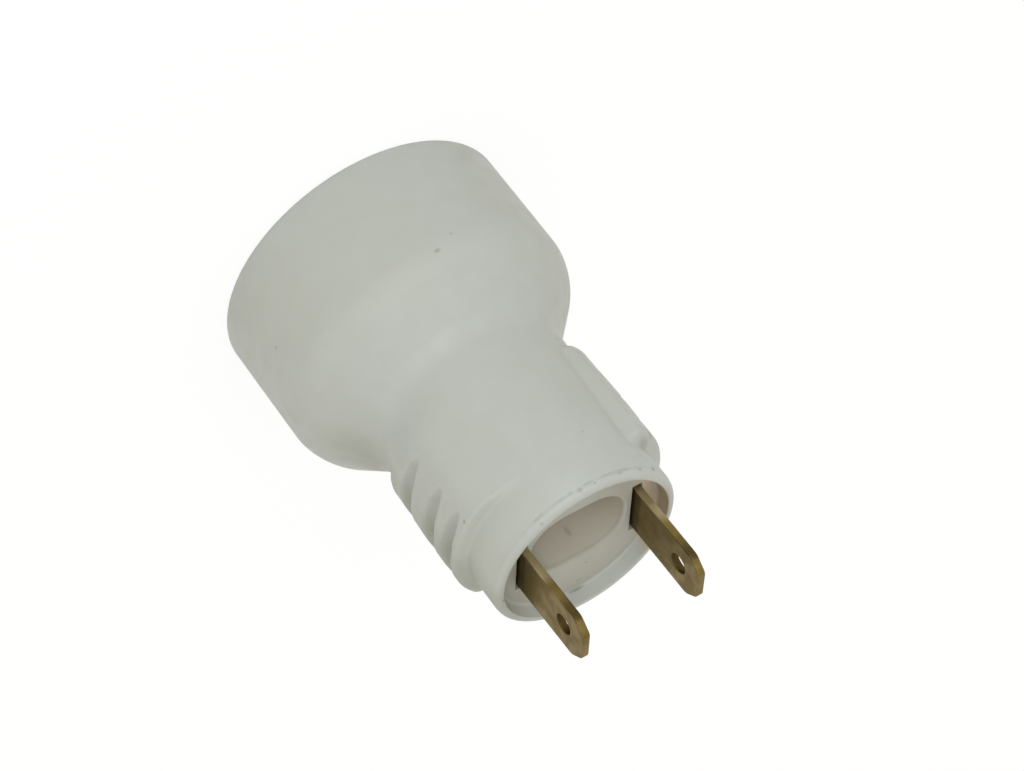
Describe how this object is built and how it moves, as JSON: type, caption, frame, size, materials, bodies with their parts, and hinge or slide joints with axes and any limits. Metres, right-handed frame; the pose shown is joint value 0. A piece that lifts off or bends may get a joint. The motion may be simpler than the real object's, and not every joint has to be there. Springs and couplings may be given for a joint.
{
  "type": "lamp holder",
  "caption": "White moulded lamp holder with a bell-shaped shroud, a ribbed neck, a small screw socket with a sprung contact, and flat brass push-on tabs.",
  "frame": {"origin": "centre of the bell's mouth, on the surface that the mouth stands on", "axes": "+Z along the axis from the mouth to the tabs, X along the tabs' spacing"},
  "size_m": [0.0318, 0.0318, 0.0501],
  "materials": {
    "white_plastic": "satin off-white moulded plastic, slightly greyed",
    "plated_sheet": "nickel-plated rolled sheet",
    "fibre": "red-brown vulcanised fibre",
    "tab_brass": "dull rolled brass, tarnished",
    "spring_bronze": "bright phosphor bronze"
  },
  "bodies": {
    "holder": {"housing": "white_plastic", "screw_shell": "plated_sheet", "insulating_washer": "fibre", "shell_terminal": "tab_brass", "centre_terminal": "tab_brass"},
    "contact": {"centre_contact": "spring_bronze"}
  },
  "joints": [
    {"name": "contact_flex", "type": "hinge", "parent": "holder", "child": "contact", "pos_m": [0.0061, 0, 0.0314], "axis": [0, 1, 0], "range_deg": [0, 9], "stiffness_Nm_per_rad": 0.2}
  ]
}
